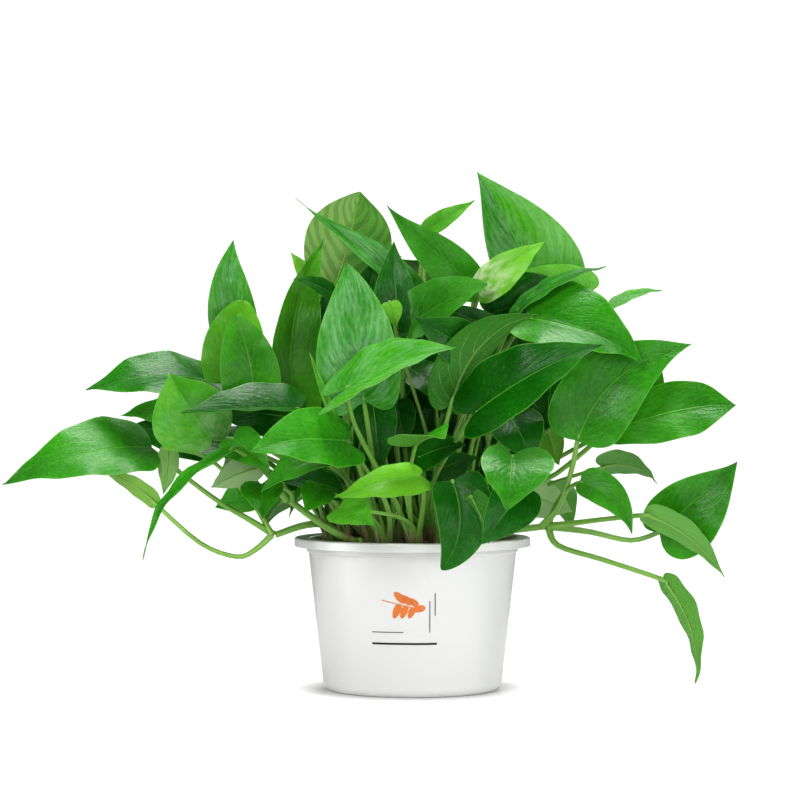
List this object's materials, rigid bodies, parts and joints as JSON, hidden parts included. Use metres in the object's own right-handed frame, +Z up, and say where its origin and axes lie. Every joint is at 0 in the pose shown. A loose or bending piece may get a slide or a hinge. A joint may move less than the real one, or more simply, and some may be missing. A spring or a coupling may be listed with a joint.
{
  "type": "potted pothos plant",
  "caption": "Bushy trailing house plant with heart-shaped, softly streaked green leaves on thin petioles, standing in soil in a plain white round plastic pot with a flared rim.",
  "frame": {"origin": "centre of the pot's flat base, on the surface it stands on", "axes": "+Z up along the pot's axis; -Y towards the plant's best side; +X to the right seen from that side"},
  "size_m": [0.5441, 0.331, 0.3951],
  "materials": {
    "pot_plastic": "satin moulded plastic",
    "potting_soil": "crumbly, matte",
    "leaf_fresh": "waxy, satin",
    "leaf_deep": "waxy, satin"
  },
  "bodies": {
    "root": {"pot": "pot_plastic", "soil": "potting_soil", "stem_left_runner": "leaf_fresh", "stem_left_arm": "leaf_fresh", "stem_left_fan": "leaf_fresh", "stem_left_tall": "leaf_fresh", "stem_left_mid": "leaf_deep", "stem_front_heart": "leaf_fresh", "stem_centre_silver": "leaf_fresh", "stem_centre_streaked": "leaf_fresh", "stem_tall_dark": "leaf_deep", "stem_top_left": "leaf_fresh", "stem_top_mid": "leaf_fresh", "stem_top_right": "leaf_fresh", "stem_right_upper": "leaf_fresh", "stem_right_bright": "leaf_fresh", "stem_right_back": "leaf_fresh", "stem_right_dark": "leaf_deep", "stem_front_rim": "leaf_deep", "stem_front_right": "leaf_fresh", "stem_right_runner": "leaf_fresh", "stem_right_low": "leaf_fresh", "stem_back_1": "leaf_fresh", "stem_back_2": "leaf_fresh", "stem_back_3": "leaf_fresh", "stem_back_4": "leaf_fresh", "stem_back_5": "leaf_fresh"}
  },
  "joints": []
}
